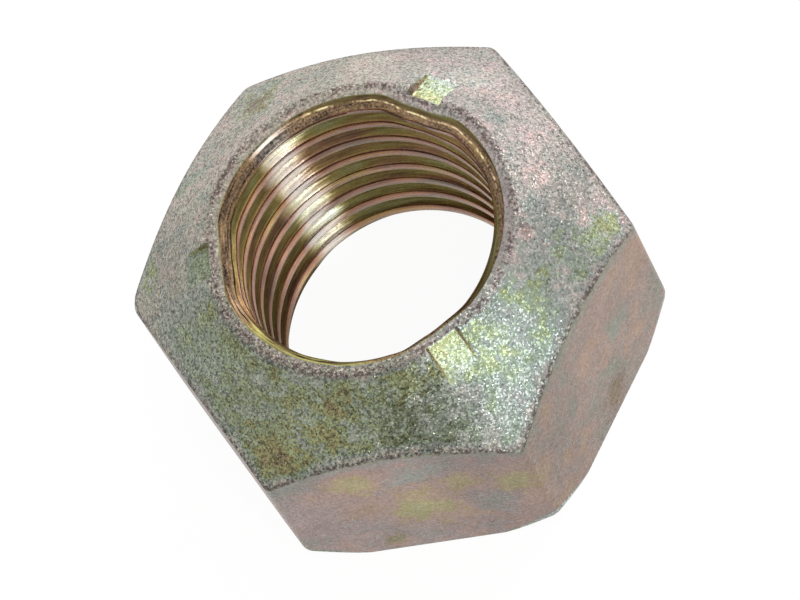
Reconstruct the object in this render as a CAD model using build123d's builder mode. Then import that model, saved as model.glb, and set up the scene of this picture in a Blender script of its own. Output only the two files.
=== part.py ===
from build123d import *
import os
from math import cos, degrees, radians, sin, tan

# A hexagon lock nut with a conical top, forged and threaded as one piece of steel.
# Millimetres. The bearing face lies on z = 0 and +Z runs up the thread axis to the rim.

# Hexagon
across_flats = 14.288
corner_round = 0.18
corner_chamfer = 0.81
chamfer_angle = 45.0

# Conical top, which ends in a flat rim round the mouth
height = 8.97
cone_angle = 43.0
rim_width = 0.37

# Thread: three-eighths inch, twenty-four turns to the inch, right-handed
thread_diameter = 9.525
turns_per_inch = 24
flank_angle = 60.0
crest_flat = 0.352
# Height at which the middle of a groove crosses the +X side
groove_start = 0.327

# Countersinks: the entry at the bearing face is wider than the thread, and the mouth at the
# rim is pressed a little inside it
entry_relief = 0.3
entry_angle = 45.0
mouth_closing = 0.088
mouth_angle = 40.0

# Crimps: punch marks on every other corner, each with a dent in the mouth beside it
crimp_count = 3
first_crimp = 90.0
crimp_width = 1.19
crimp_length = 1.03
crimp_depth = 0.32
# Steel left standing between the mouth and a crimp
crimp_wall = 0.15
# The dent's floor is narrower than its crimp, and its shoulders spread past it
dent_depth = 0.18
dent_round = 0.19
dent_spread = 0.55

# Radii and slopes that follow from these sizes
thread_pitch = 25.4 / turns_per_inch
flank_slope = tan(radians(flank_angle / 2))
root_flat = thread_pitch / 8
thread_depth = (thread_pitch - root_flat - crest_flat) / (2 * flank_slope)
thread_radius = thread_diameter / 2
bore_radius = thread_radius - thread_depth
entry_radius = thread_radius + entry_relief
mouth_radius = thread_radius - mouth_closing
rim_radius = mouth_radius + rim_width
cone_slope = tan(radians(cone_angle))
entry_slope = tan(radians(entry_angle))
mouth_slope = tan(radians(mouth_angle))
corner_radius = across_flats / 2 / cos(radians(30))
bearing_radius = corner_radius - corner_chamfer

# Cutters start and end this far clear of the steel
clear = thread_pitch / 2
outside = corner_radius + clear

crimp_azimuths = [first_crimp + 360 / crimp_count * k for k in range(crimp_count)]
half_floor = degrees((crimp_width / 2 - dent_round) / mouth_radius)
half_dent = degrees((crimp_width / 2 + dent_spread) / mouth_radius)


def on_circle(radius, azimuth):
    return (radius * cos(radians(azimuth)), radius * sin(radians(azimuth)))


def radial_plane(azimuth):
    """Upright plane through the thread axis: local x points outwards, local y points up."""
    return Plane(
        origin=(0, 0, 0),
        x_dir=(*on_circle(1, azimuth), 0),
        z_dir=(*on_circle(1, azimuth - 90), 0),
    )


def dented_circle(radius):
    """A circle that the crimps have pushed inwards: an arc runs from each dent to the next."""
    for azimuth in crimp_azimuths:
        start = azimuth - half_dent
        end = azimuth + half_dent
        Spline(
            on_circle(radius, start),
            on_circle(radius - dent_depth, azimuth - half_floor),
            on_circle(radius - dent_depth, azimuth + half_floor),
            on_circle(radius, end),
            tangents=[on_circle(1, start + 90), on_circle(1, end + 90)],
        )
        CenterArc((0, 0), radius, end, 360 / crimp_count - 2 * half_dent)


# One turn of the thread's groove. It opens inwards past the bore, half as far as would make
# it meet the turns beside it.
meeting_depth = (thread_pitch - root_flat) / (2 * flank_slope)
groove_depth = (thread_depth + meeting_depth) / 2
groove_mouth = root_flat + 2 * groove_depth * flank_slope
with BuildPart() as groove_turn:
    with BuildLine() as turn_path:
        Helix(thread_pitch, thread_pitch, thread_radius)
    with BuildSketch(Plane.XZ):
        with BuildLine():
            Polyline(
                (thread_radius, -root_flat / 2),
                (thread_radius, root_flat / 2),
                (thread_radius - groove_depth, groove_mouth / 2),
                (thread_radius - groove_depth, -groove_mouth / 2),
                close=True,
            )
        make_face()
    sweep(path=turn_path.wires()[0], is_frenet=True)

with BuildPart() as lock_nut:
    # Six flats
    with BuildSketch():
        RegularPolygon(across_flats / 2, 6, major_radius=False, rotation=30)
    extrude(amount=height)
    fillet(lock_nut.edges().filter_by(Axis.Z), corner_round)

    # Turned section: chamfered corners below, cone and rim above, bore and entry inside
    with BuildSketch(Plane.XZ):
        with BuildLine():
            Polyline(
                (entry_radius, 0),
                (bearing_radius, 0),
                (outside, (outside - bearing_radius) * tan(radians(chamfer_angle))),
                (outside, height - (outside - rim_radius) * cone_slope),
                (rim_radius, height),
                (bore_radius, height),
                (bore_radius, (entry_radius - bore_radius) * entry_slope),
                close=True,
            )
        make_face()
    revolve(axis=Axis.Z, mode=Mode.INTERSECT)

    # Dented countersink at the mouth, from above the rim down to inside the bore
    with BuildSketch(Plane.XY.offset(height + clear * mouth_slope)):
        with BuildLine():
            dented_circle(mouth_radius + clear)
        make_face()
    with BuildSketch(Plane.XY.offset(height - (mouth_radius - bore_radius + clear) * mouth_slope)):
        with BuildLine():
            dented_circle(bore_radius - clear)
        make_face()
    loft(ruled=True, mode=Mode.SUBTRACT)

    # Thread: the same turn of groove at every pitch, from below the entry to above the rim
    turns_beyond = 2
    turn_count = int(height / thread_pitch) + 2 * turns_beyond
    first_turn = groove_start - turns_beyond * thread_pitch
    with Locations(*[(0, 0, first_turn + thread_pitch * k) for k in range(turn_count)]):
        add(groove_turn.part, mode=Mode.SUBTRACT)

    # Punch marks: deepest beside the mouth, running out on the cone
    crimp_start = mouth_radius + crimp_wall
    crimp_end = crimp_start + crimp_length
    for azimuth in crimp_azimuths:
        with BuildSketch(radial_plane(azimuth)):
            with BuildLine():
                Polyline(
                    (crimp_start, height + clear),
                    (crimp_start, height - crimp_depth),
                    (crimp_end, height - (crimp_end - rim_radius) * cone_slope),
                    (crimp_end, height + clear),
                    close=True,
                )
            make_face()
        extrude(amount=crimp_width / 2, both=True, mode=Mode.SUBTRACT)

lock_nut.part.label = "lock_nut"
print("bore radius", round(bore_radius, 4), "volume", round(lock_nut.part.volume, 2))
print("solids", len(lock_nut.part.solids()), "valid", lock_nut.part.is_valid)

os.makedirs("parts", exist_ok=True)
export_step(lock_nut.part, "parts/lock_nut.step")
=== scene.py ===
# %% [markdown]
# # A crimped lock nut, drawn by rule
#
# The nut is one forged and tapped piece of steel with a satin, yellow-passivated zinc finish.
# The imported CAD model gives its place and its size. This script draws the same nut again with a
# finer surface, gives it its plating, and lights it as a catalogue photograph would.
#
# The script starts with the frame, because its box gives the nut's width and height.

# %% Load the frame
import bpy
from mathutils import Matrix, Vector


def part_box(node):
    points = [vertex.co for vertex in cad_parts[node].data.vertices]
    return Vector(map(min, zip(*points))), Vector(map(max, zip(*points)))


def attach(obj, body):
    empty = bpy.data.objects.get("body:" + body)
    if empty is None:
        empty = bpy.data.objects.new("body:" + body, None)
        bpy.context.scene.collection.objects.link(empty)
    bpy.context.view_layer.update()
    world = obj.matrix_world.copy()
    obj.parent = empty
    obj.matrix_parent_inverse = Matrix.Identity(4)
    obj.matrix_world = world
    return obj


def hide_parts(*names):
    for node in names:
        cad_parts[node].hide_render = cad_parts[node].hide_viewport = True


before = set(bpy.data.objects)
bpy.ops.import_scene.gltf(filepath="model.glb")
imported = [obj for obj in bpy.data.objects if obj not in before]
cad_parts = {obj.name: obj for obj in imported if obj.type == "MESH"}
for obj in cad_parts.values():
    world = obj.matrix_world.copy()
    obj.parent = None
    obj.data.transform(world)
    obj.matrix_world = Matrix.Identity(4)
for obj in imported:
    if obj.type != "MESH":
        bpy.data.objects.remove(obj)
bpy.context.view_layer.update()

# %% [markdown]
# Blender's own Python module is bpy, and mathutils brings vectors and turns.

# %% Blender's own modules
import math

import bpy
from mathutils import Quaternion, Vector

print("Blender", bpy.app.version_string)

# %% [markdown]
# ## The sizes
#
# A nut is bought by its thread and its width across flats, so these two drive the rest. The
# width across flats and the height come from the frame's box. The others are the sizes of a
# three-eighths inch fine-thread nut, in millimetres and degrees, in the nut's own frame: the
# bearing face lies on z = 0 and the thread's axis is Z.

# %% Sizes in millimetres and degrees
millimetre = 0.001
inch = 25.4
threads_an_inch = 24
thread_diameter = 9.525
face_angle = 60
half_face = face_angle / 2
cone_angle = 43
mouth_angle = 40
flank_angle = 30
mouth_inset = 0.088
rim_width = 0.37


def slope_of(angle):
    return math.tan(math.radians(angle))


low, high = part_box("lock_nut")
across_flats = (high.x - low.x) / millimetre
height = high.z / millimetre
thread_pitch = inch / threads_an_inch
thread_radius = thread_diameter / 2
bore_radius = 4.2654
root_flat = thread_pitch / 20
flank_slope = slope_of(flank_angle)
cone_slope = slope_of(cone_angle)
groove_start = 0.327
mouth_radius = thread_radius - mouth_inset
rim_radius = mouth_radius + rim_width
corner_cosine = math.cos(math.radians(half_face))
corner_radius = across_flats / 2 / corner_cosine
corner_chamfer = 0.76
entry_flare = 0.3
print("across flats", round(across_flats, 3), "height", round(height, 3))

# %% [markdown]
# Geometry Nodes will read their sizes from named inputs. This table gathers them, with the
# roundings that the plating drum leaves on the edges.

# %% Table of the shape's inputs
sizes = {
    "Apothem": across_flats / 2,
    "Corner round": 0.30,
    "Worn corner azimuth": 210.0,
    "Worn corner round": 0.85,
    "Height": height,
    "Cone slope": cone_slope,
    "Rim radius": rim_radius,
    "Rim lean": 0.13,
    "Mouth radius": mouth_radius,
    "Mouth slope": slope_of(mouth_angle),
    "Bore radius": bore_radius,
    "Thread radius": thread_radius,
    "Thread pitch": thread_pitch,
    "Root flat": root_flat,
    "Flank slope": flank_slope,
    "Groove start": groove_start,
    "Entry radius": thread_radius + entry_flare,
    "Bearing radius": corner_radius - corner_chamfer,
    "Edge round": 0.11,
    "Foot bend": 0.06,
}
for name, size in sizes.items():
    print(f"{name:20} {size:7.4f}")

# %% [markdown]
# ## The crimps
#
# Three punch blows beside the mouth press the last threads inwards, and that is what makes the
# nut grip its bolt. Each blow leaves a square mark on the cone and a dent in the mouth next to
# it. No two blows are alike, so each has its own row in a table. Two more lists are for the
# finish: how light each mark's struck metal looks, which is painted light and shade for how the
# lamps fall on each mark, and how thick its film is beside the mouth and at the outer end.

# %% Crimps, in millimetres and degrees
crimp_names = ("Azimuth", "Mark start", "Mark length", "Mark depth",
               "Dent depth", "Dent floor", "Dent spread")
crimp_sizes = [
    (90.6, 4.76, 1.40, 0.30, 0.243, 5.2, 14.5),
    (213.2, 4.86, 1.05, 0.18, 0.157, 5.5, 14.0),
    (329.9, 4.86, 1.20, 0.26, 0.107, 5.5, 13.0),
]
crimps = [dict(zip(crimp_names, row)) for row in crimp_sizes]
mark_painted_lights = [0.60, 0.29, 0.76]
mark_films = [(0.58, 0.95), (0.74, 0.84), (0.66, 0.84)]
half_mark = 0.60
for number, crimp in enumerate(crimps, 1):
    for name, size in crimp.items():
        sizes[f"Crimp {number} {name.lower()}"] = size
sizes["Crimp half width"] = half_mark
sizes["Crimp wall"] = 0.08
print(len(sizes), "named sizes")

# %% [markdown]
# ## Arithmetic with nodes
#
# Geometry Nodes and material nodes both have a Math node. A long formula made of them by hand
# is hard to read, so a small class stands for a number that the nodes work out, and ordinary
# arithmetic on it adds the nodes. The same class then serves the nut's shape and its finish.
#
# A few helpers come first: they feed a node's inputs, add a node, and make a Math node into a
# method of the class.

# %% Helpers that add nodes
def feed(tree, value, place):
    """Gives a node's input a plain value, or links it to what other nodes work out."""
    if isinstance(value, Number):
        value = value.socket
    if isinstance(value, bpy.types.NodeSocket):
        tree.links.new(value, place)
    else:
        place.default_value = value


def add(tree, kind, inputs):
    """Adds a node and feeds its inputs, by name or number."""
    node = tree.nodes.new(kind)
    for name, value in inputs.items():
        feed(tree, value, node.inputs[name])
    return node


def compute(tree, operation, *values, clamp=False):
    """Adds a Math node and gives back the number that it works out."""
    node = add(tree, "ShaderNodeMath", dict(enumerate(values)))
    node.operation = operation
    node.use_clamp = clamp
    return Number(tree, node.outputs[0])


def step(operation, swapped=False):
    """A method that adds one Math node. Swapped, it serves a sum such as 1 - b."""
    def method(self, *others):
        values = (*others, self) if swapped else (self, *others)
        return compute(self.tree, operation, *values)
    return method


print("helpers ready")

# %% [markdown]
# Python lets a class say what its signs mean. The other steps have names, with angles in degrees.
# Three of them do most of the work below: eased turns a distance into a share between 0 and 1,
# near finds a line, and towards mixes two numbers by such a share.

# %% A number worked out by nodes
class Number:
    """A number that a node tree works out at every point."""

    __add__ = __radd__ = step("ADD")
    __mul__ = __rmul__ = step("MULTIPLY")
    __sub__ = step("SUBTRACT")
    __rsub__ = step("SUBTRACT", swapped=True)
    __truediv__ = step("DIVIDE")
    __rtruediv__ = step("DIVIDE", swapped=True)
    size = step("ABSOLUTE")
    root = step("SQRT")
    least = step("MINIMUM")
    most = step("MAXIMUM")
    soft_least = step("SMOOTH_MIN")
    soft_most = step("SMOOTH_MAX")

    def __init__(self, tree, socket):
        self.tree = tree
        self.socket = socket

    def math(self, operation, *others, clamp=False):
        return compute(self.tree, operation, self, *others, clamp=clamp)

    def sine(self):
        return self.math("RADIANS").math("SINE")

    def cosine(self):
        return self.math("RADIANS").math("COSINE")

    def wrapped(self, reach):
        """The same angle or length, brought within reach on either side of nought."""
        return self.math("WRAP", reach, -reach)

    def share(self):
        """Cut off below 0 and above 1."""
        return self.math("ADD", 0.0, clamp=True)

    def eased(self, start, end):
        """0 at start, 1 at end, and a smooth step between them."""
        inputs = {"Value": self, "From Min": start, "From Max": end}
        node = add(self.tree, "ShaderNodeMapRange", inputs)
        node.interpolation_type = "SMOOTHSTEP"
        return Number(self.tree, node.outputs["Result"])

    def near(self, middle, reach):
        """1 where it is close to the middle, 0 beyond the reach on either side."""
        return (self - middle).size().eased(reach, reach * 0.4)

    def towards(self, other, share):
        """This number at share 0, the other one at share 1."""
        return self + (other - self) * share


print("arithmetic ready")

# %% [markdown]
# ## The nut's mesh
#
# A real nut is turned, hexed and tapped, and each of these cuts follows a rule, so the outline of
# its section is known at every azimuth. The mesh could be cut with booleans, but then its faces
# are long and uneven, and its thread has a jagged seam. Here Geometry Nodes roll flat grids round
# the axis instead, one for each stretch of the section. A formula gives each vertex its radius
# and height, and the grids meet along shared rows, which are then merged.

# %% Start the tree and give it one named input for each size
tree = bpy.data.node_groups.new("Crimped nut", "GeometryNodeTree")
tree.interface.new_socket("Geometry", in_out="OUTPUT", socket_type="NodeSocketGeometry")
identifiers = {}
for name, size in sizes.items():
    socket = tree.interface.new_socket(name, in_out="INPUT", socket_type="NodeSocketFloat")
    socket.default_value = size
    identifiers[name] = socket.identifier
material_socket = tree.interface.new_socket(
    "Finish", in_out="INPUT", socket_type="NodeSocketMaterial")
identifiers["Finish"] = material_socket.identifier
group_input = tree.nodes.new("NodeGroupInput")


def given(name):
    """One of the tree's named inputs."""
    return Number(tree, group_input.outputs[name])


print(len(identifiers), "inputs")

# %% [markdown]
# A grid's own X and Y run from -0.5 to 0.5. X becomes the azimuth, in degrees, and Y the share of
# the way along the strip. A sine wave crowds the columns at the corners of the hexagon, where
# the section changes fastest and where the crimps are.

# %% Azimuth and place along a strip
columns = 576
corners = 6
corner_crowding = 0.5
position = tree.nodes.new("GeometryNodeInputPosition")
grid_place = add(tree, "ShaderNodeSeparateXYZ", {0: position.outputs[0]})
turn = Number(tree, grid_place.outputs["X"]) + 0.5
along = Number(tree, grid_place.outputs["Y"]) + 0.5
even_azimuth = turn * 360
crowding = (even_azimuth * corners).sine() * math.degrees(corner_crowding / corners)
azimuth = even_azimuth + crowding
print(columns, "columns round the axis")

# %% [markdown]
# ## The section, azimuth by azimuth
#
# Three outlines change with azimuth. The first is the hexagon. Its radius is longest at its
# corners, which are arcs of a small radius, and one corner, which has taken more knocks than the
# others, is rounder.

# %% Outline of the hexagon
apothem = given("Apothem")
from_worn_corner = (azimuth - given("Worn corner azimuth")).wrapped(180).size()
at_worn_corner = from_worn_corner.math("LESS_THAN", half_face)
corner_round = given("Corner round").towards(given("Worn corner round"), at_worn_corner)
from_flat = azimuth.wrapped(half_face).size()
from_corner = half_face - from_flat
flat_outline = apothem / from_flat.cosine()
corner_centre = (apothem - corner_round) / corner_cosine
beside_corner = corner_centre * from_corner.sine()
corner_reach = (corner_round * corner_round - beside_corner * beside_corner).most(0).root()
corner_outline = corner_centre * from_corner.cosine() + corner_reach
tangent_azimuth = (corner_centre * 0.5 / apothem).math("ARCTANGENT").math("DEGREES")
in_corner = from_flat.math("GREATER_THAN", tangent_azimuth)
hexagon = flat_outline.towards(corner_outline, in_corner)
print("hexagon ready")

# %% [markdown]
# The mouth is a circle that the crimps push in. The thread's groove climbs one pitch a turn:
# across it, the profile is a narrow root, two straight flanks and a flat crest, with softened
# corners, as a tap that has cut many nuts leaves it. The crimps squeeze the last two pitches
# along with the mouth.

# %% Outlines of the mouth and the bore
root_softness = 0.08
crest_softness = 0.05
squeezed_pitches = 2.2
beside_mouth = 0.35


def off_crimp(number):
    """Degrees from the middle of a crimp, with a sign."""
    return (azimuth - given(f"Crimp {number} azimuth")).wrapped(180)


def dent(number):
    """How far one crimp has pushed the mouth inwards at this azimuth."""
    flat_part = given(f"Crimp {number} dent floor")
    fades = flat_part + given(f"Crimp {number} dent spread")
    depth = given(f"Crimp {number} dent depth")
    return off_crimp(number).size().eased(fades, flat_part * 0.8) * depth


dents = dent(1) + dent(2) + dent(3)
mouth = given("Mouth radius") - dents


def bore_outline(level):
    """Radius of the inner wall at a height: thread, entry countersink or mouth countersink."""
    pitch = given("Thread pitch")
    turns = (level - given("Groove start")) / pitch - azimuth / 360
    across = turns.wrapped(0.5).size() * pitch
    groove = given("Thread radius") - (across - given("Root flat") * 0.5) / given("Flank slope")
    rounded_root = groove.soft_least(given("Thread radius"), root_softness)
    thread = rounded_root.soft_most(given("Bore radius"), crest_softness)
    entry = given("Entry radius") - level
    closing = given("Mouth radius") - (given("Height") - level) / given("Mouth slope")
    squeezed = squeezed_pitches * pitch
    near_mouth = (level - given("Height") + squeezed) / squeezed
    squeeze = dents * near_mouth.eased(0.0, 1.0)
    cut = thread.least(given("Mouth radius")) - squeeze
    cut_below = thread - squeeze
    by_mouth = level.math("GREATER_THAN", given("Height") - beside_mouth)
    return cut_below.towards(cut, by_mouth).most(closing - squeeze).most(entry)


print("outlines ready")

# %% [markdown]
# The top is one surface from the mouth out to the hexagon: a rim that leans a little inwards,
# then the cone. Each crimp's mark is sunk into it with steep walls at its sides. It is deepest
# beside the mouth and runs out on the cone.

# %% Height of the top at a radius, and depth of the marks
rim_softness = 0.12
facing_reach = 40


def top_surface(radius):
    """Height of the rim and the cone, before any mark is struck."""
    below_rim = (radius - given("Rim radius")) * given("Cone slope")
    lean = (given("Rim radius") - radius).most(0) * given("Rim lean")
    return given("Height") - below_rim.soft_most(0.0, rim_softness) - lean


def mark(number, radius):
    """How deep a crimp's mark is sunk at a radius."""
    beside = off_crimp(number)
    sideways = beside.sine().size() * radius
    facing = beside.size().math("LESS_THAN", facing_reach)
    inside = ((given("Crimp half width") - sideways) / given("Crimp wall")).share()
    start = given(f"Crimp {number} mark start")
    length = given(f"Crimp {number} mark length")
    beyond_start = ((radius - start) / given("Crimp wall")).share()
    start_level = given("Height") - given(f"Crimp {number} mark depth")
    end_level = given("Height") - (start + length - given("Rim radius")) * given("Cone slope")
    floor_level = start_level.towards(end_level, (radius - start) / length)
    depth = (top_surface(radius) - floor_level).most(0)
    return depth * inside * beyond_start * facing


print("top ready")

# %% [markdown]
# Each strip is a grid whose vertices are placed by two formulas. Strips also store a few
# measures that the finish needs later: how far a point is from the edge between cone and flat,
# how far from the mouth, and whether it is inside the bore. A strip that lies far from the edge
# or the mouth stores a distance that no effect reaches.

# %% A strip of the section, rolled round the axis
far_away = 5.0
joined = tree.nodes.new("GeometryNodeJoinGeometry")
rows_made = []


def strip(rows, radius, level, from_edge=far_away, from_mouth=far_away, in_bore=0.0):
    """Adds a grid and places its vertices by radius and height, in millimetres."""
    rows_made.append(rows)
    grid_size = {"Size X": 1, "Size Y": 1, "Vertices X": columns + 1, "Vertices Y": rows + 1}
    geometry = add(tree, "GeometryNodeMeshGrid", grid_size).outputs["Mesh"]
    measures = {"from_edge": from_edge, "from_mouth": from_mouth, "in_bore": in_bore}
    for name, value in measures.items():
        inputs = {"Geometry": geometry, "Name": name, "Value": value}
        store = add(tree, "GeometryNodeStoreNamedAttribute", inputs)
        geometry = store.outputs["Geometry"]
    place = add(tree, "ShaderNodeCombineXYZ", {
        "X": radius * azimuth.cosine() * millimetre,
        "Y": radius * azimuth.sine() * millimetre,
        "Z": level * millimetre})
    inputs = {"Geometry": geometry, "Position": place.outputs[0]}
    move = add(tree, "GeometryNodeSetPosition", inputs)
    tree.links.new(move.outputs["Geometry"], joined.inputs[0])


print("strips ready")

# %% [markdown]
# The rim and the cone get one strip each, because the cone is longer and needs its rows closer
# together near the rim, where the marks begin.

# %% Rim and cone
edge_round = given("Edge round")
slope = given("Cone slope")
cone_length = (slope * slope + 1).root()
cone_end = hexagon - edge_round / cone_length


def top_strip(rows, start, end, crowding):
    radius = start + (end - start) * along.math("POWER", crowding)
    marks = mark(1, radius) + mark(2, radius) + mark(3, radius)
    strip(rows, radius, top_surface(radius) - marks,
          from_edge=(hexagon - radius) * cone_length,
          from_mouth=radius - mouth)


top_strip(rows=10, start=mouth, end=given("Rim radius"), crowding=1.0)
top_strip(rows=32, start=given("Rim radius"), end=cone_end, crowding=1.35)
print(sum(rows_made), "rows on the top")

# %% [markdown]
# Where the cone meets a flat, the real edge is bruised round. A Bevel modifier would cut it
# unevenly, so a bend of one size is worked out instead: a quadratic curve that leaves one line of
# the section a cut's length before the corner, and joins the next line as far after it.

# %% A bend in the section
def rounding(corner, arrive, leave, cut, share):
    """Radius and height along a bend, from a cut before the corner to a cut after it."""
    before = (1 - share) * (1 - share) * cut
    after = share * share * cut
    radius = corner[0] + before * arrive[0] + after * leave[0]
    level = corner[1] + before * arrive[1] + after * leave[1]
    return radius, level


print("bends ready")

# %% Edge between cone and flat, and the flats
edge_level = top_surface(hexagon)
edge_radius, edge_height = rounding(
    corner=(hexagon, edge_level),
    arrive=(-1 / cone_length, slope / cone_length),
    leave=(0.0, -1.0),
    cut=edge_round,
    share=along)
strip(4, edge_radius, edge_height, from_edge=(1 - along * 2) * edge_round)

bearing_radius = given("Bearing radius")
chamfer_level = (hexagon - bearing_radius).most(0)
foot_round = edge_round + chamfer_level * 0.4
flat_height = (edge_level - edge_round).towards(chamfer_level + foot_round, along)
strip(7, hexagon, flat_height, from_edge=flat_height - edge_level)
print(sum(rows_made), "rows down to the feet of the flats")

# %% [markdown]
# The nut's lower corners are chamfered, and the drum that plated it has worn them round. Between
# two corners the chamfer runs out, and there the flat meets the bearing face at a small radius.

# %% Foot of the flats, chamfered corners and bearing face
bend = given("Foot bend")
chamfered = (chamfer_level / edge_round).share()
foot_out = chamfered * 0.5 - 1
foot_down = chamfered * -0.5
foot_length = (foot_out * foot_out + foot_down * foot_down).root()
leave_radius = foot_out / foot_length
leave_height = foot_down / foot_length
foot_radius, foot_height = rounding(
    corner=(hexagon, chamfer_level),
    arrive=(0.0, 1.0),
    leave=(leave_radius, leave_height),
    cut=foot_round,
    share=along)
strip(5, foot_radius, foot_height.most(0.0))

foot_end = hexagon + leave_radius * foot_round
foot_end_height = (chamfer_level + leave_height * foot_round).most(0.0)
chamfer_end = foot_end.least(bearing_radius + bend)
chamfer_end_height = foot_end_height.least(bend * 0.7)
strip(2, foot_end.towards(chamfer_end, along), foot_end_height.towards(chamfer_end_height, along))
bearing_start = foot_end.least(bearing_radius - bend)
strip(1, chamfer_end.towards(bearing_start, along), chamfer_end_height.towards(0.0, along))
bearing_end = given("Entry radius") + bend
strip(3, bearing_start.towards(bearing_end, along), 0.0)
print(sum(rows_made), "rows down to the entry")

# %% [markdown]
# The entry countersink lets the bolt start.

# %% Entry
entry_depth = given("Entry radius") - given("Bore radius")
strip(1, bearing_end.towards(bore_outline(bend), along), along * bend, in_bore=along)
entry_level = bend.towards(entry_depth, along)
strip(8, bore_outline(entry_level), entry_level, in_bore=1.0)
print(sum(rows_made), "rows down to the thread")

# %% [markdown]
# The thread's rows don't lie level: they climb with the groove, so that crests and flanks keep
# their edges. A short table gives the rows of one pitch, close together where the profile bends,
# and an Index Switch node reads it. Rows that would pass the entry or the mouth stop there.

# %% Thread
row_places = [0.0, 0.03, 0.08, 0.18, 0.28, 0.32, 0.5, 0.68, 0.72, 0.82, 0.92, 0.97]
rows_a_pitch = len(row_places)
thread_rows = rows_a_pitch * (int(height / thread_pitch) + 1)
row = (along * thread_rows).math("ROUND")
whole_pitch = (row / rows_a_pitch + 0.001).math("FLOOR")
place_in_pitch = (row - whole_pitch * rows_a_pitch).math("ROUND")
chooser = tree.nodes.new("GeometryNodeIndexSwitch")
chooser.data_type = "FLOAT"
while len(chooser.index_switch_items) < rows_a_pitch:
    chooser.index_switch_items.new()
feed(tree, place_in_pitch, chooser.inputs["Index"])
for number, share_of_pitch in enumerate(row_places, 1):
    chooser.inputs[number].default_value = share_of_pitch
crossing = Number(tree, chooser.outputs[0])
thread_level = given("Groove start") + given("Thread pitch") * (
    whole_pitch - 1.0 + crossing + azimuth / 360)
mouth_depth = (given("Mouth radius") - given("Bore radius")) * given("Mouth slope")
mouth_start = given("Height") - mouth_depth
clamped_level = thread_level.most(entry_depth).least(mouth_start)
strip(thread_rows, bore_outline(clamped_level), clamped_level, in_bore=1.0)
print(thread_rows, "rows of thread")

# %% [markdown]
# The mouth's countersink closes the section, for its last row is the rim's first.

# %% Mouth
mouth_end = top_surface(mouth)
mouth_level = mouth_start.towards(mouth_end, along)
at_rim = along.math("GREATER_THAN", 0.99)
strip(6, bore_outline(mouth_level).towards(mouth, at_rim), mouth_level, in_bore=1.0, from_mouth=0.0)
print(sum(rows_made), "rows before the merge")

# %% [markdown]
# Neighbouring strips share a row, and each strip's first and last columns meet, so one Merge by
# Distance closes the nut. Its faces point inwards until Flip Faces turns them.

# %% Merge the strips, turn them outwards and end the tree
last_steps = {
    "GeometryNodeMergeByDistance": {"Distance": 0.001 * millimetre},
    "GeometryNodeFlipFaces": {},
    "GeometryNodeSetShadeSmooth": {},
    "GeometryNodeRealizeInstances": {},
    "GeometryNodeSetMaterial": {"Material": group_input.outputs["Finish"]},
    "NodeGroupOutput": {},
}
node = joined
for kind, inputs in last_steps.items():
    node = add(tree, kind, {0: node.outputs[0], **inputs})
print(len(tree.nodes), "nodes in the tree")

# %% [markdown]
# ## The finish
#
# Zinc plating dipped in a yellow chromate bath carries a film so thin that light interferes in
# it. As the film grows from place to place, its colour runs through the same order each time:
# grey, salmon, orange, yellow, green, grey again and pink. Painting each stain by hand would
# never look like one film, so here one number stands for the film's thickness, and one colour
# ramp turns it into that order. Zones, stains and grain only change the thickness.
#
# A second number is how light the metal is. The two are multiplied into the base colour.

# %% Helpers for the finish's vectors
finish = bpy.data.materials.new("yellow_passivated_zinc")
finish.use_nodes = True
paint = finish.node_tree
shader = paint.nodes["Principled BSDF"]


def vector(operation, first, second):
    """Adds a Vector Math node. The second value is a vector, or a number for SCALE."""
    node = paint.nodes.new("ShaderNodeVectorMath")
    node.operation = operation
    feed(paint, first, node.inputs[0])
    feed(paint, second, node.inputs["Scale" if operation == "SCALE" else 1])
    return node.outputs[0]


def parts(place):
    """The three numbers of a vector."""
    node = add(paint, "ShaderNodeSeparateXYZ", {0: place})
    return [Number(paint, part) for part in node.outputs]


def place_of(x, y, z):
    """A vector made of three numbers."""
    return add(paint, "ShaderNodeCombineXYZ", {"X": x, "Y": y, "Z": z}).outputs[0]


print("vectors ready")

# %% [markdown]
# The finish has to know where on the nut it is. Object coordinates give the radius and the
# azimuth, and the strips' stored measures tell flat, cone and bore apart. Much of the finish
# belongs to one side of the nut, so a helper turns an azimuth into such a side.

# %% Where a point lies on the nut
own_place = paint.nodes.new("ShaderNodeTexCoord")
in_millimetres = vector("SCALE", own_place.outputs["Object"], 1 / millimetre)
east, north, up = parts(in_millimetres)
point_radius = (east * east + north * north).root()
point_azimuth = north.math("ARCTAN2", east).math("DEGREES")


def measured(name):
    """A measure that the mesh carries at each vertex."""
    node = paint.nodes.new("ShaderNodeAttribute")
    node.attribute_name = name
    return Number(paint, node.outputs["Fac"])


def side(middle, fades, full, sway=0.0):
    """1 within full degrees of an azimuth, 0 beyond fades degrees. Sway makes it uneven."""
    return (point_azimuth - middle + sway).wrapped(180).size().eased(fades, full)


from_edge = measured("from_edge")
from_mouth = measured("from_mouth")
in_bore = measured("in_bore").eased(0.3, 0.7)
on_flat = from_edge.eased(0.03, -0.03) * (1 - in_bore)
on_cone = (1 - on_flat) * (1 - in_bore)
print("zones ready")

# %% [markdown]
# Two kinds of grain serve everywhere. Noise gives soft patches of any width. Voronoi cells stand
# for the crystals of the zinc: each cell has its own random numbers, so neighbouring crystals
# differ in colour, in lightness and in the way they lean. Both are given in millimetres.

# %% Noise and crystals
def shifted(place, seed):
    """The same place moved far off, so that each seed reads another part of the noise."""
    return vector("ADD", place, (seed * 13.7, seed * 5.1, seed * 9.3))


def noise(grain, seed, detail=2.0, place=in_millimetres):
    """Even noise around nought, whose lumps are about as wide as the grain."""
    inputs = {"Scale": 1 / grain, "Detail": detail, "Vector": shifted(place, seed)}
    node = add(paint, "ShaderNodeTexNoise", inputs)
    return Number(paint, node.outputs["Fac"]) - 0.5


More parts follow.
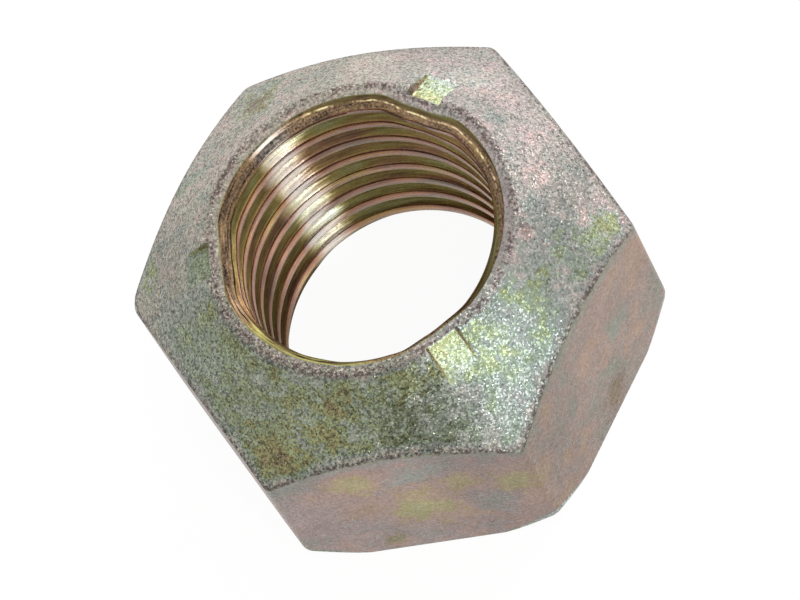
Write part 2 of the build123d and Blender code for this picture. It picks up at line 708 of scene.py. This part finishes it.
def crystals(grain, seed):
    """Three random numbers around nought for each crystal."""
    inputs = {"Scale": 1 / grain, "Vector": shifted(in_millimetres, seed)}
    node = add(paint, "ShaderNodeTexVoronoi", inputs)
    return vector("SUBTRACT", node.outputs["Color"], (0.5, 0.5, 0.5))


patches = noise(2.2, seed=1, detail=3)
blotches = noise(0.8, seed=2)
lumps = noise(0.33, seed=3)
grain = noise(0.13, seed=4, detail=1.5)
crystal = crystals(0.055, seed=5)
crystal_tint, crystal_light, crystal_gloss = parts(crystal)
print("grain ready")

# %% [markdown]
# Tools leave lines: nearly level on each flat, from the forging die, and round the bore, from the
# tap. Both are noise that is stretched along the line, by squeezing the coordinate that runs
# along it before the noise reads it.

# %% Drawn and turned lines
flat_azimuth = (point_azimuth / face_angle).math("ROUND") * face_angle
across_flat = point_radius * (point_azimuth - flat_azimuth).sine()
drawn_place = place_of((across_flat + up * 0.3) * 0.14, up - across_flat * 0.3, flat_azimuth * 0.37)
die_lines = noise(0.12, seed=6, place=drawn_place)
turned_place = place_of(east / point_radius, north / point_radius, up * 3.0 + point_radius * 2.0)
turning_lines = noise(0.24, seed=7, detail=3, place=turned_place)
squeezed_place = place_of(east * 0.3, north * 0.3, up)
turn_patches = noise(0.6, seed=8, detail=1, place=squeezed_place)
print("lines ready")

# %% [markdown]
# ## Stains
#
# The film isn't even, and it has stains where drops dried. Each stain has a place on the nut, a
# width, the film's thickness at its middle and a lightness against the metal around it. Its edge
# is ragged, because the same noise that mottles the metal moves it. On the cone the same spots
# also paint light and shade through their lightness.

# %% A stain
ragged_edge = blotches * 1.6 + lumps * 1.2 + crystal_tint * 0.5


def ragged_spot(azimuth_degrees, radius, level, width):
    """1 in the middle of a ragged spot, 0 outside its edge. Spots are dried drops, and some on the
    cone are patches of painted light and shade.
    """
    angle = math.radians(azimuth_degrees)
    aside = east - radius * math.cos(angle)
    ahead = north - radius * math.sin(angle)
    above = up - level
    distance = (aside * aside + ahead * ahead + above * above).root()
    return (distance + ragged_edge * width).eased(width * 1.05, width * 0.3)


print("a stain is ready")

# %% Stains on the cone: azimuth, radius, width, film and lightness
# The lightness column is painted light and shade as well as stain: the rows near azimuth -20 with a
# lightness above 1.1 paint the lamp's highlight, and the rows at 20, 45, -46, 72, 85, 112 and 240
# degrees paint those sides of the cone lighter or darker.
cone_stains_and_lights = [
    (20, 6.4, 2.5, 0.92, 0.77),
    (45, 6.6, 1.8, 1.04, 0.85),
    (-46, 6.6, 1.8, 0.80, 0.72),
    (-16, 6.4, 2.1, 0.85, 1.22),
    (-20, 5.7, 1.0, 0.74, 1.25),
    (-28, 7.3, 1.4, 0.88, 1.15),
    (0, 5.9, 0.9, 0.76, 1.0),
    (15, 6.5, 0.9, 0.79, 1.0),
    (24, 7.1, 0.9, 0.76, 1.0),
    (30, 7.6, 0.7, 0.70, 1.0),
    (20, 5.35, 0.35, 1.30, 0.9),
    (31, 7.95, 0.25, 1.30, 0.9),
    (72, 6.5, 1.0, 1.16, 1.10),
    (85, 6.5, 1.5, 1.05, 1.13),
    (112, 5.9, 1.7, 1.08, 1.25),
    (105, 7.2, 0.6, 1.20, 1.0),
    (147, 7.2, 0.9, 0.84, 0.92),
    (152, 5.8, 1.4, 1.09, 0.93),
    (150.6, 6.65, 1.1, 0.58, 0.85),
    (150.6, 6.65, 0.7, 0.46, 0.60),
    (162, 7.3, 0.8, 1.20, 1.0),
    (180, 6.7, 0.8, 0.84, 0.9),
    (206, 6.6, 1.6, 1.02, 0.86),
    (204, 7.5, 0.9, 0.66, 0.95),
    (232, 5.3, 0.5, 0.62, 1.0),
    (240, 6.3, 1.6, 0.82, 1.20),
    (273, 7.2, 1.4, 0.58, 1.0),
    (285, 6.3, 1.1, 0.62, 1.0),
    (312, 5.5, 0.8, 0.66, 1.0),
]
print(len(cone_stains_and_lights), "stains on the cone")

# %% Stains on the flats: azimuth, height, width, film and lightness
flat_stains = [
    (274.0, 3.4, 1.9, 0.23, 1.06),
    (325.0, 1.5, 1.2, 0.29, 1.08),
    (303.0, 5.3, 1.6, 0.06, 1.04),
    (321.0, 2.9, 1.5, 0.10, 0.97),
    (288.2, 5.6, 1.3, 0.36, 1.02),
    (289.3, 3.4, 1.2, 0.37, 1.03),
    (302.1, 3.0, 1.8, 0.36, 1.02),
    (304.0, 4.1, 1.2, 0.38, 1.02),
    (314.4, 4.55, 1.1, 0.36, 1.02),
    (325.6, 3.95, 1.3, 0.36, 1.02),
    (296.2, 6.0, 0.7, 0.33, 1.0),
    (327.5, 2.3, 0.9, 0.34, 1.12),
    (27.7, 4.8, 1.4, 0.33, 1.02),
    (14.0, 5.6, 1.5, 0.28, 1.02),
    (11.4, 3.7, 0.7, 0.04, 1.0),
    (288.2, 5.6, 0.9, 0.50, 1.14),
    (302.1, 3.0, 1.2, 0.54, 1.12),
    (304.0, 4.1, 0.7, 0.46, 1.10),
    (314.4, 4.55, 0.7, 0.48, 1.12),
    (325.6, 3.95, 0.9, 0.52, 1.12),
    (1.5, 1.0, 0.9, 0.40, 0.72),
    (291.0, 0.7, 0.6, 0.50, 0.75),
]
print(len(flat_stains), "stains on the flats")

# %% [markdown]
# The cone is nearly grey all round, bluish on one side and olive on another. The stains go over
# that in turn, each blending towards its own film. A band along the rim and another along the
# outer edge are pinker, as the film grows thick where the metal is bruised.

# %% Film on the cone
mottle = blotches * 0.6 + lumps * 0.45 + grain * 0.3 + crystal_tint * 0.1
olive_sway = patches * 20 + blotches * 30 + lumps * 25 + crystal_tint * 14
olive_and_shaded_side = side(-91, fades=60, full=34, sway=olive_sway)
bluish_side = side(-20, fades=36, full=18, sway=blotches * 25)
cone_film = 1.07 + mottle + patches * 0.5
bluish_film = 0.86 + mottle * 0.6
olive_film = 0.74 + mottle * 1.1 + patches * 0.2 + crystal_tint * 0.1
cone_film = cone_film.towards(bluish_film, bluish_side * 0.9)
film = cone_film.towards(olive_film, olive_and_shaded_side)
stain_and_light_tone = 1.0
for spot_azimuth, radius, width, middle, lighter in cone_stains_and_lights:
    level = height - (radius - rim_radius) * cone_slope
    spot = ragged_spot(spot_azimuth, radius, level, width)
    film = film.towards(middle + mottle * 0.7, spot)
    stain_and_light_tone = spot * (lighter - 1) + stain_and_light_tone
rim_band = from_mouth.eased(0.55, 0.3)
edge_band = from_edge.size().eased(0.55, 0.15)
film = film.towards(1.06 + lumps * 0.7, edge_band * 0.7)
film = film.towards(1.12 + lumps * 0.6, rim_band * 0.85)
print("cone's film ready")

# %% [markdown]
# The flats carry the thinnest film, beige to salmon, with yellow drops. Such a drop is in the
# table twice: a wide orange ring, and a smaller yellow middle over it.

# %% Film on the flats
flat_film = 0.24 + patches * 0.55 + blotches * 0.4 + lumps * 0.2 + die_lines * 0.12
flat_tone = 0.92 - side(-31, fades=30, full=8) * 0.18
for spot_azimuth, level, width, middle, lighter in flat_stains:
    nearest_flat = round(spot_azimuth / face_angle) * face_angle
    radius = across_flats / 2 / math.cos(math.radians(spot_azimuth - nearest_flat))
    spot = ragged_spot(spot_azimuth, radius, level, width)
    flat_film = flat_film.towards(middle + die_lines * 0.15, spot)
    flat_tone = spot * (lighter - 1) + flat_tone
flat_film = flat_film.towards(0.05 + lumps * 0.4, from_edge.eased(-0.6, -0.1) * 0.7)
film = film.towards(flat_film, on_flat)
stain_and_light_tone = stain_and_light_tone.towards(flat_tone, on_flat)
print("flats' film ready")

# %% [markdown]
# A crimp's mark is bare, burnished metal, so its film starts again: yellow-green beside the
# mouth, and paler where the mark runs out. Each mark's lightness is painted light and shade for
# how the lamps fall on it. Its side walls get a painted shade, as the mark shades them, and a
# redder film, and a deeper mark has darker walls.

# %% Crimp marks
wall_width = 0.06
deep_mark = 0.26
painted_wall_shade = 0.0
marks_painted_light = 0.0
mark_film = 0.0
mark_cover = 0.0
for crimp, painted_mark_light, struck_film in zip(crimps, mark_painted_lights, mark_films):
    beside = (point_azimuth - crimp["Azimuth"]).wrapped(180)
    sideways = (beside.sine() * point_radius).size()
    outwards = (point_radius - crimp["Mark start"]) / crimp["Mark length"]
    length_cover = outwards.eased(-0.03, 0.02) * (outwards + lumps * 0.5).eased(1.0, 0.7)
    here = length_cover * beside.size().eased(facing_reach + 1, facing_reach) * on_cone
    cover = sideways.eased(half_mark + 0.02, half_mark - 0.02) * here
    steepness = min(1.0, crimp["Mark depth"] / deep_mark) ** 2
    wall = sideways.near(half_mark - 0.04, wall_width) * (1 - outwards * 0.7) * here * steepness
    painted_wall_shade = wall.most(painted_wall_shade)
    first_film, last_film = struck_film
    marks_painted_light = cover * painted_mark_light + marks_painted_light
    mark_film = cover * (outwards * (last_film - first_film) + first_film) + mark_film
    mark_cover = cover.most(mark_cover)
mark_film = mark_film + (1 - mark_cover) * 0.8 + lumps * 0.25 + crystal_tint * 0.14
film = film.towards(mark_film.towards(0.27, painted_wall_shade), mark_cover)
print("marks ready")

# %% [markdown]
# ## The bore
#
# The tap cuts the grooves and only rubs the crests between them, so the grooves carry a thicker
# and yellower film. The same formula that cuts the groove tells the finish how far a point is
# from the groove's middle.

# %% Where a point lies in the thread
turns_up = (up - groove_start) / thread_pitch - point_azimuth / 360
across_groove = turns_up.wrapped(0.5) * thread_pitch
groove_half = root_flat / 2 + flank_slope * (thread_radius - bore_radius)
on_crest = across_groove.size().eased(groove_half - 0.05, groove_half + 0.01)
# A thin line along each crest's upper edge is made darker.
crest_top_dark_line = across_groove.near(-groove_half - 0.02, 0.045)
crest_edge = across_groove.near(groove_half + 0.03, 0.05)
in_mouth = up.eased(height - 0.34, height - 0.30) * in_bore
below_rim = height - up
print("groove's half width", round(groove_half, 3))

# %% [markdown]
# The bore isn't the same all round. On one side a bright streak runs down the wall, a painted
# highlight. A lamp alone doesn't draw it, because the real gloss has a direction, and a linked
# anisotropy can't be handed on. So it is painted, through the film and the lightness. The mouth's
# far side has a thin painted glint in its shade.

# %% Sides of the bore
streak_sway = turn_patches * 14 + turning_lines * 12
painted_streak_highlight = side(157, fades=13, full=3, sway=streak_sway)
far_side = side(90, fades=60, full=35)
near_side = side(-88, fades=36, full=20)
red_side = side(-153, fades=42, full=24)
orange_side = side(-116, fades=14, full=5)
# These sides paint light and shade on the thread: the crests darker on the shaded wall and lighter
# on the left wall, the grooves and the mouth lighter on the lit wall, and the crests darker deep
# down on one side.
shaded_wall = side(120, fades=60, full=20)
lit_wall = side(82, fades=30, full=14)
left_lit_wall = side(-163, fades=34, full=14)
deep_shaded_side = side(-138, fades=44, full=20) * up.eased(7.0, 3.0)
mouth_shade = far_side * below_rim.eased(0.16, 0.11)
glint_depth = 0.15 + (110 - point_azimuth) * 0.001
mouth_glint = (below_rim - glint_depth + lumps * 0.05).size().eased(0.026, 0.01) * far_side
mouth_glint = (mouth_glint * (0.55 + blotches * 3 + lumps * 2 + grain * 3)).share()
print("sides of the bore ready")

# %% Film in the bore
crest_film = 0.33 + turn_patches * 0.8 + turning_lines * 0.4
groove_film = 0.52 + turn_patches * 0.8 + turning_lines * 0.5
thread_film = groove_film.towards(crest_film, on_crest).towards(0.58, crest_edge)
mouth_film = 0.34 + turning_lines * 0.4 + crystal_tint * 0.15
for side_film, where in (
        (0.46 + turning_lines * 0.5, mouth_shade),
        (0.52 + turning_lines * 0.5, near_side.most(mouth_glint)),
        (0.33 + turning_lines * 0.4, red_side)):
    mouth_film = mouth_film.towards(side_film, where)
film = film.towards(thread_film.towards(mouth_film, in_mouth), in_bore)
print("bore's film ready")

# %% [markdown]
# ## The film's colour
#
# The ramp holds the colours in the order in which interference brings them. Each is a tint for
# the metal's lightness, so it may pass 1. A ramp holds no more than 1, so the colours go in
# divided by a headroom, and the base colour is multiplied by it again.

# %% Colour of the film, in the order of interference
film_colours = [
    (0.00, (0.96, 1.02, 0.93)),
    (0.12, (1.07, 1.00, 0.86)),
    (0.22, (1.21, 0.935, 0.86)),
    (0.32, (1.35, 0.905, 0.76)),
    (0.42, (1.30, 0.95, 0.58)),
    (0.52, (1.16, 1.02, 0.48)),
    (0.62, (1.02, 1.06, 0.49)),
    (0.72, (0.94, 1.07, 0.60)),
    (0.82, (0.91, 1.05, 0.78)),
    (0.92, (0.97, 1.01, 0.88)),
    (1.02, (1.06, 1.00, 0.80)),
    (1.15, (1.13, 0.965, 0.84)),
    (1.30, (1.25, 0.93, 0.76)),
]
thickest = film_colours[-1][0]
headroom = 1.5
ramp = paint.nodes.new("ShaderNodeValToRGB")
stops = ramp.color_ramp.elements
while len(stops) < len(film_colours):
    stops.new(1.0)
for stop, (thickness, colour) in zip(stops, film_colours):
    stop.position = thickness / thickest
    stop.color = (*(part / headroom for part in colour), 1.0)
print(len(film_colours), "film colours")

# %% [markdown]
# ## Lightness, pits and worn edges
#
# The metal's lightness changes from side to side as well. The olive side of the cone is the
# darkest, partly from its film and partly as painted shade, and the flats lie between it and the
# rest.

# %% Lightness of the cone and the flats
cone_light = 0.375 + patches * 0.25
olive_shaded_light = 0.235 + patches * 0.15 + blotches * 0.1
flat_light = 0.315 + patches * 0.15 + blotches * 0.08
light = cone_light.towards(olive_shaded_light, olive_and_shaded_side).towards(0.32, edge_band * 0.5)
light = light.towards(light * 0.5 + 0.145, rim_band * 0.8)
light = light.towards(flat_light, on_flat) * stain_and_light_tone
light = light * (1 - mark_cover) + marks_painted_light
print("cone and flats are lit")

# %% [markdown]
# In the bore the grooves are dark and the crests lighter, both streaked by the tap: the grooves'
# darkness is partly painted shade and the crests' lightness partly a painted reflection of the
# floor below, besides their films. The painted streak makes both bright on one side. The mouth
# has a lightness for each side, partly its film's and partly painted light and shade, and where
# two overlap the later one wins.

# %% Lightness in the bore
streaks = turning_lines * 0.6 + turn_patches * 0.3
groove_light = 0.11 + (lit_wall + deep_shaded_side) * 0.05 + streaks * 0.4
groove_light = groove_light + painted_streak_highlight * (0.5 + streaks * 1.6)
crest_light = (0.34 + streaks).towards(0.22 + streaks * 0.6, shaded_wall)
crest_light = crest_light * (1 + left_lit_wall * 0.35)
crest_light = crest_light.towards(0.85 + streaks, painted_streak_highlight) * (1 - deep_shaded_side * 0.5)
thread_light = groove_light.towards(crest_light, on_crest)
thread_light = thread_light.towards(0.30, crest_edge * (1 - painted_streak_highlight)) * (1 - crest_top_dark_line * 0.3)
mouth_light = 0.14 + lit_wall * 0.09 + turning_lines * 0.4 + crystal_light * 0.16
for side_light, where in (
        (0.11 + turning_lines * 0.3, mouth_shade),
        (0.9, mouth_glint),
        (0.19 + turning_lines * 1.2, near_side),
        (0.09 + turning_lines * 0.5 + crystal_light * 0.08, red_side),
        (0.22 + turning_lines * 1.5, orange_side),
        (0.9, painted_streak_highlight * below_rim.near(0.12, 0.045))):
    mouth_light = mouth_light.towards(side_light, where)
light = light.towards(thread_light.towards(mouth_light, in_mouth), in_bore)
print("bore is lit")

# %% [markdown]
# Plated steel that has been tumbled is never one grey. Its grain is a few hundredths of a
# millimetre wide. On the side of the cone that mirrors the lamp, single crystals glitter: this
# glitter is a painted highlight, added to the lightness. The side next to it is calmer, and so is
# the band along the rim.

# %% Grain and glitter
painted_glitter_side = side(-15, fades=24, full=8) * on_cone
calm_side = side(20, fades=30, full=14) * on_cone
rough_skin = on_cone.towards(0.3, on_flat).towards(0.03, in_bore)
calm = painted_glitter_side * 0.5 + calm_side * 0.35 + rim_band * 0.2
speckle_strength = rough_skin * (1 + olive_and_shaded_side * 0.3 - calm) + in_bore * 0.2
speckle = grain * 0.9 + crystal_light * 0.95 + lumps * 0.5 + blotches * 0.3
painted_glitter = crystal_light.eased(0.22, 0.5) * painted_glitter_side * 1.2
speckle = 1 + speckle * speckle_strength + painted_glitter
print("grain strength ready")

# %% [markdown]
# The skin has pits, and along its sharp edges the plating is bruised to a brown line, which more
# noise breaks up.

# %% Pits and worn edges
pits = noise(0.14, seed=9, detail=1.0).eased(-0.15, -0.24) * rough_skin * (1 - painted_glitter_side * 0.4)
broken = noise(0.11, seed=10) + lumps * 0.5 + blotches * 0.3
edge_dark = (from_edge + lumps * 0.25).near(0.07, 0.13) * broken.eased(-0.06, 0.08)
rim_dark = (from_mouth + lumps * 0.25).near(0.31, 0.20) * broken.eased(-0.05, 0.12) * on_cone
worn = edge_dark.most(rim_dark * (1 - mark_cover))
# Here the painted shade of the marks' walls joins the pits and the worn edges.
pits_wear_and_shade = (pits * 0.5).most(worn * 0.65).most(painted_wall_shade * 0.88)
lightness = light * speckle * (1 - pits_wear_and_shade)
film = film.towards(1.25, worn * on_cone * 0.8)
feed(paint, film / thickest, ramp.inputs["Fac"])
print("pits and edges ready")

# %% [markdown]
# The base colour is the film's colour, tinted, times the lightness. The bore is warmer than the
# outside: a painted tint for the light that bounces between its plated walls. The lit side of the
# cone gets a painted cool tint and the glittering side a painted cyan one. Under the painted
# highlights of the bore's streak and the mouth's glint, the colour goes towards a plain pale grey.

# %% Base colour
painted_bounce_warmth = in_bore * (1 - painted_streak_highlight * 0.9)
painted_cool_light_side = side(35, fades=90, full=55) * on_cone
tan_flat = side(0, fades=34, full=28) * on_flat
green_loss = 0.20 - in_mouth * 0.14 + on_crest * (1 - in_mouth) * 0.08
blue_loss = 0.45 - in_mouth * 0.16
green_share = 1 - painted_bounce_warmth * green_loss
blue_share = 1 - painted_bounce_warmth * blue_loss + painted_cool_light_side * 0.1 - tan_flat * 0.08
tint = place_of(1 - painted_glitter_side * 0.07, green_share, blue_share)
highlight_paleness = painted_streak_highlight.most(mouth_glint * 0.7) * in_bore * 0.65
highlight_grey = place_of(highlight_paleness * 0.66, highlight_paleness * 0.66, highlight_paleness * 0.60)
film_colour = vector("SCALE", vector("MULTIPLY", ramp.outputs["Color"], tint), 1 - highlight_paleness)
film_colour = vector("ADD", film_colour, highlight_grey)
base_colour = vector("SCALE", film_colour, lightness * headroom)
feed(paint, base_colour, shader.inputs["Base Color"])
print("base colour ready")

# %% [markdown]
# ## Gloss and relief
#
# The satin look comes from crystals that each lean their own way: some catch the lamp and
# sparkle while their neighbours stay dark. So the surface normal is tilted a little by each
# crystal's random numbers before the bump node adds the lumps and the pits.

# %% Gloss
least_roughness = 0.14
feed(paint, 0.5 + in_bore * 0.4, shader.inputs["Metallic"])
uneven_gloss = 0.7 - on_flat * 0.4 - in_bore * 0.6 + painted_glitter_side * 0.2
roughness = 0.42 + lumps * 0.15 + crystal_gloss * uneven_gloss - in_bore * 0.1 + in_mouth * 0.2
roughness = roughness + deep_shaded_side * in_bore * 0.3
feed(paint, roughness.most(least_roughness), shader.inputs["Roughness"])
print("gloss ready")

# %% Leaning crystals and relief
relief_height = 0.03
surface = paint.nodes.new("ShaderNodeNewGeometry")
lean = vector("SCALE", crystal, rough_skin * (0.5 - rim_band * 0.2 - calm_side * 0.2))
leaning = vector("NORMALIZE", vector("ADD", surface.outputs["Normal"], lean), (0.0, 0.0, 0.0))
relief = grain * rough_skin * 0.9 + lumps * 0.6 * (1 - in_bore) - pits_wear_and_shade * 0.6
relief = relief + die_lines * on_flat * 0.6 + turning_lines * in_bore * 0.25
bump = add(paint, "ShaderNodeBump", {
    "Distance": relief_height * millimetre,
    "Strength": 1.0,
    "Height": relief,
    "Normal": leaning})
feed(paint, bump.outputs["Normal"], shader.inputs["Normal"])
print(len(paint.nodes), "nodes in the finish")

# %% [markdown]
# ## The nut itself
#
# An empty carrier object wears the tree once, and its evaluated mesh becomes the nut as a plain
# mesh. The nut then stands for the CAD node, rides on the part's one body and wears the finish
# that the tree gave it.

# %% Make the mesh
def in_scene(name, data):
    """A new object that carries the data, linked to the scene."""
    thing = bpy.data.objects.new(name, data)
    bpy.context.scene.collection.objects.link(thing)
    return thing


carrier = in_scene("crimped_nut_maker", bpy.data.meshes.new("empty"))
modifier = carrier.modifiers.new("Crimped nut", "NODES")
modifier.node_group = tree
for name, size in sizes.items():
    modifier[identifiers[name]] = float(size)
modifier[identifiers["Finish"]] = finish
depsgraph = bpy.context.evaluated_depsgraph_get()
nut_mesh = bpy.data.meshes.new_from_object(
    carrier.evaluated_get(depsgraph), preserve_all_data_layers=True, depsgraph=depsgraph)
bpy.data.objects.remove(carrier)
nut = in_scene("crimped_nut", nut_mesh)
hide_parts("lock_nut")
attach(nut, "root")
print(len(nut_mesh.polygons), "faces")

# %% [markdown]
# The volume is a quick measure of the mesh: it is positive only if the faces are closed and point
# outwards.

# %% Measure the mesh
cubic_millimetre = millimetre ** 3
nut_mesh.calc_loop_triangles()
volume = 0.0
for triangle in nut_mesh.loop_triangles:
    a, b, c = (nut_mesh.vertices[v].co for v in triangle.vertices)
    volume += a.dot(b.cross(c)) / 6
print(len(nut_mesh.loop_triangles), "triangles")
print("volume in cubic millimetres", round(volume / cubic_millimetre, 2))

# %% [markdown]
# ## Floor and background
#
# The photograph has a pure white background and next to no shadow. A white floor lit by lamps
# alone never gets there without washing out the nut, so the floor and the world glow for the
# rays that the camera sends, and light the nut at an ordinary level. The floor keeps a share of
# its plain paint, and with it a faint shadow of the nut. Mirrored rays see the same white.

# %% Which rays see a surface directly
def seen_directly(tree):
    """1 for the camera's rays and for mirrored ones, 0 for the rays that light."""
    path = tree.nodes.new("ShaderNodeLightPath")
    seen = Number(tree, path.outputs["Is Camera Ray"])
    for kind in ("Glossy", "Transmission"):
        seen = seen.most(Number(tree, path.outputs[f"Is {kind} Ray"]))
    return seen


def emptied(owner):
    """The node tree of a material or a world, with nothing in it."""
    owner.use_nodes = True
    owner.node_tree.nodes.clear()
    return owner.node_tree


def blended(tree, output_kind, share, first, second):
    """Ends the tree in the first shader at share 0 and the second at share 1."""
    inputs = {"Fac": share, 1: first.outputs[0], 2: second.outputs[0]}
    node = add(tree, "ShaderNodeMixShader", inputs)
    add(tree, output_kind, {"Surface": node.outputs[0]})


white = (1, 1, 1, 1)
floor_white = (0.85, 0.85, 0.85, 1)
print("rays ready")

# %% [markdown]
# The floor lies a hundredth of a millimetre under the bearing face. In one plane, the two would
# flicker through each other when seen from below.

# %% Floor
reach = 0.6
sunk = -0.01 * millimetre
corner_signs = [(-1, -1), (1, -1), (1, 1), (-1, 1)]
floor_corners = [(reach * x, reach * y, sunk) for x, y in corner_signs]
floor_mesh = bpy.data.meshes.new("floor")
floor_mesh.from_pydata(floor_corners, [], [(0, 1, 2, 3)])
floor = in_scene("floor", floor_mesh)
floor_finish = bpy.data.materials.new("white_floor")
floor_tree = emptied(floor_finish)
floor_paint = add(floor_tree, "ShaderNodeBsdfDiffuse", {"Color": floor_white})
floor_glow = add(floor_tree, "ShaderNodeEmission", {"Color": white, "Strength": 1.05})
glow_share = seen_directly(floor_tree) * 0.9
blended(floor_tree, "ShaderNodeOutputMaterial", glow_share, floor_paint, floor_glow)
floor_mesh.materials.append(floor_finish)
print("floor ready")

# %% [markdown]
# Beyond the floor is the world: white where it is seen, and half as bright where it lights.

# %% World
world = bpy.data.worlds.new("studio")
bpy.context.scene.world = world
world_tree = emptied(world)
soft_light = add(world_tree, "ShaderNodeBackground", {"Color": white, "Strength": 0.55})
backdrop = add(world_tree, "ShaderNodeBackground", {"Color": white, "Strength": 1.0})
blended(world_tree, "ShaderNodeOutputWorld", seen_directly(world_tree), soft_light, backdrop)
print("world ready")

# %% [markdown]
# ## Lamps
#
# Four round soft lamps. The low key lies where the cone mirrors it towards the camera, beside
# the lowest crimp. The high key reaches down the bore and draws the bright lines on the thread's
# flanks. The two lamps at the back keep the far side of the cone from going grey.

# %% Lamps: azimuth, elevation, size in metres and power in watts
lamp_distance = 0.45


def direction(azimuth_degrees, elevation_degrees):
    """The way from the nut towards an azimuth and an elevation."""
    across = math.radians(azimuth_degrees)
    upwards = math.radians(elevation_degrees)
    level = math.cos(upwards)
    return Vector((math.cos(across) * level, math.sin(across) * level, math.sin(upwards)))


def lamp(name, azimuth_degrees, elevation_degrees, size, power):
    """Hangs a round lamp that faces the nut."""
    lamp_data = bpy.data.lights.new(name, "AREA")
    lamp_data.shape = "DISK"
    lamp_data.size = size
    lamp_data.energy = power
    lamp_object = in_scene(name, lamp_data)
    away = direction(azimuth_degrees, elevation_degrees)
    lamp_object.location = away * lamp_distance
    lamp_object.rotation_mode = "QUATERNION"
    lamp_object.rotation_quaternion = away.to_track_quat("Z", "Y")


lamp("low key", -20, 31, size=0.06, power=0.16)
lamp("high key", -13, 60, size=0.09, power=0.13)
lamp("back", 80, 22, size=0.25, power=0.90)
lamp("side", 130, 25, size=0.25, power=0.24)
print(len(bpy.data.lights), "lamps")

# %% [markdown]
# ## Camera
#
# The photograph was taken from far away with a long lens, so the hexagon's opposite sides stay
# nearly parallel. Its direction, roll and distance were worked out from the nut's outline. The
# distance and the point that it aims at are in millimetres.

# %% Camera
camera_distance = 189.89
camera_roll = 30.57
aim = Vector((0.460, -0.352, 4.485))
towards_camera = direction(-35.80, 62.06)
camera_data = bpy.data.cameras.new("camera")
camera_data.lens = 267.94
camera_data.sensor_width = 36
camera_data.clip_start = 0.01
camera_data.clip_end = 10
camera = in_scene("camera", camera_data)
level_view = (-towards_camera).to_track_quat("-Z", "Y")
roll = Quaternion((0, 0, 1), -math.radians(camera_roll))
camera.rotation_mode = "QUATERNION"
camera.rotation_quaternion = level_view @ roll
camera.location = aim * millimetre + towards_camera * camera_distance * millimetre
bpy.context.scene.camera = camera
bpy.context.scene.view_settings.view_transform = "Standard"
print("camera ready")
